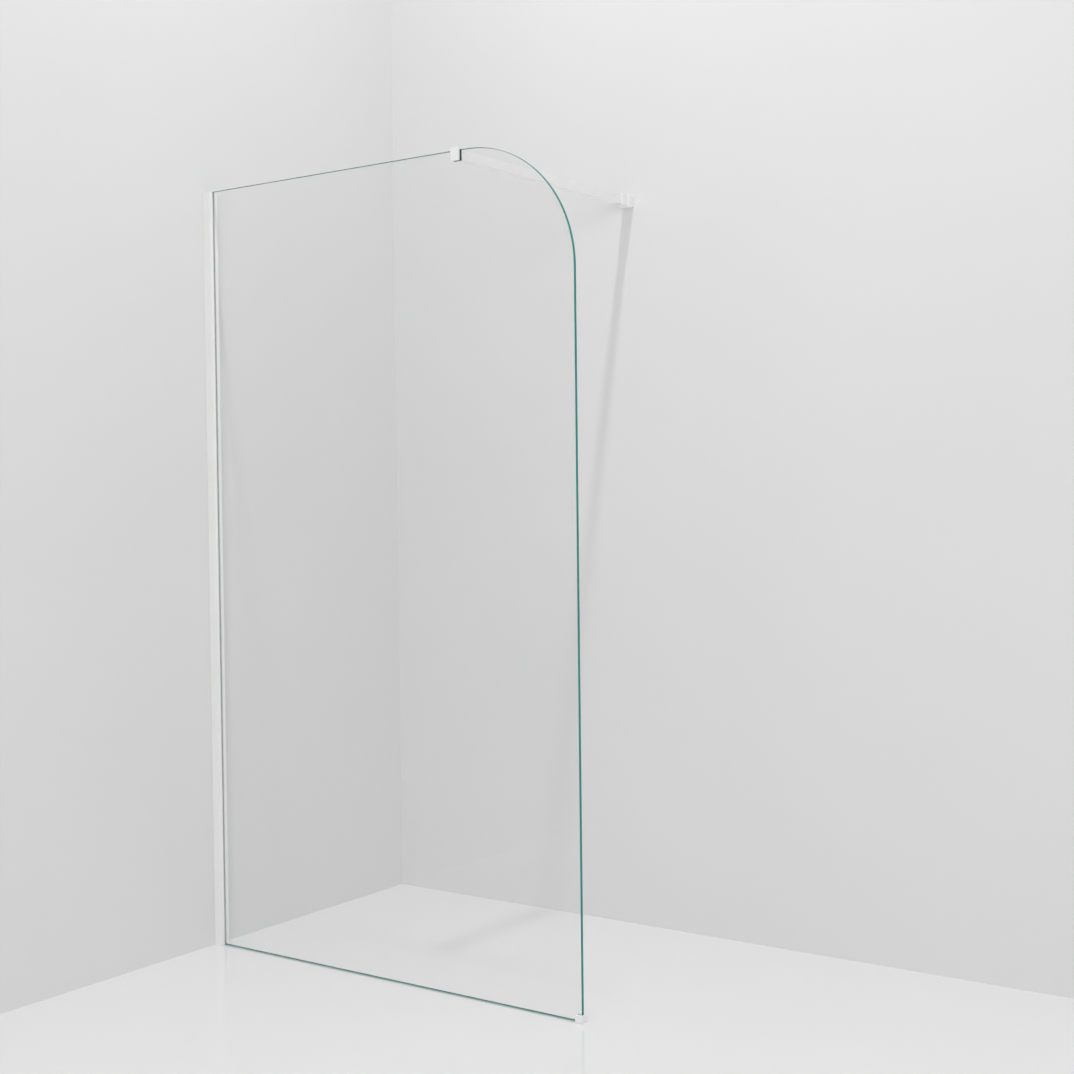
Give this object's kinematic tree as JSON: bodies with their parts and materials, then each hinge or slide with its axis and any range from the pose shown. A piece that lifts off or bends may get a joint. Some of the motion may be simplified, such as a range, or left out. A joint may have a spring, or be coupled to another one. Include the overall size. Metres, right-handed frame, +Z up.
{
  "type": "walk-in shower screen",
  "caption": "Fixed walk-in glass shower screen with a round upper corner, held by a white wall channel, a square support bar to the back wall and a small floor foot.",
  "frame": {"origin": "where the side wall's face, the middle plane of the glass and the top of the tray meet", "axes": "+X along the glass away from the side wall, +Y from the glass to the back wall, +Z up"},
  "size_m": [1.2075, 0.818, 2.005],
  "materials": {
    "white_profile": "satin",
    "white_fitting": "satin",
    "white_plastic": "satin",
    "screw_steel": "satin",
    "gasket_rubber": "matte",
    "pad_rubber": "matte",
    "clear_plastic": "satin",
    "glass": "polished"
  },
  "bodies": {
    "wall_fixed": {"wall_channel": "white_profile", "wall_screws": "screw_steel", "channel_top_cap": "white_plastic", "locking_screws": "screw_steel", "locking_nuts": "screw_steel", "locking_screw_caps": "white_plastic"},
    "glass_unit": {"glass_carrier": "white_profile", "front_gasket": "gasket_rubber", "rear_gasket": "gasket_rubber", "edge_packers": "clear_plastic", "bottom_shim": "clear_plastic", "glass_panel": "glass", "foot_shoe": "white_fitting", "foot_liner": "clear_plastic", "foot_adhesive_pad": "clear_plastic"},
    "bar_unit": {"clamp_body": "white_fitting", "clamp_rear_pad": "pad_rubber", "clamp_top_pad": "pad_rubber", "clamp_bar_screw": "screw_steel", "clamp_screw_plug": "white_plastic", "support_bar": "white_profile", "bar_wall_base": "screw_steel", "base_screws": "screw_steel"},
    "clamp_jaw": {"clamp_pressure_plate": "screw_steel", "clamp_front_pad": "pad_rubber"},
    "clamp_drive": {"clamp_screw": "screw_steel"},
    "socket_unit": {"bar_wall_socket": "white_fitting", "socket_bar_screw": "screw_steel", "socket_base_screw": "screw_steel"}
  },
  "joints": [
    {"name": "carrier_adjust", "type": "slide", "parent": "wall_fixed", "child": "glass_unit", "axis": [1, 0, 0], "range_m": [0, 0.01]},
    {"name": "clamp_slide", "type": "slide", "parent": "glass_unit", "child": "bar_unit", "axis": [1, 0, 0], "range_m": [-0.75, 0.015]},
    {"name": "clamp_jaw_slide", "type": "slide", "parent": "bar_unit", "child": "clamp_jaw", "axis": [0, -1, 0], "range_m": [0, 0.001]},
    {"name": "clamp_screw_turn", "type": "hinge", "parent": "clamp_jaw", "child": "clamp_drive", "pos_m": [0.8375, -0.0065, 1.9875], "axis": [0, -1, 0], "range_deg": [0, 450]},
    {"name": "socket_slide", "type": "slide", "parent": "bar_unit", "child": "socket_unit", "axis": [0, -1, 0], "range_m": [0, 0.06]}
  ],
  "couplings": [
    {"joint": "clamp_screw_turn", "follows": "clamp_jaw_slide", "rad_per_m": 7853.9}
  ]
}
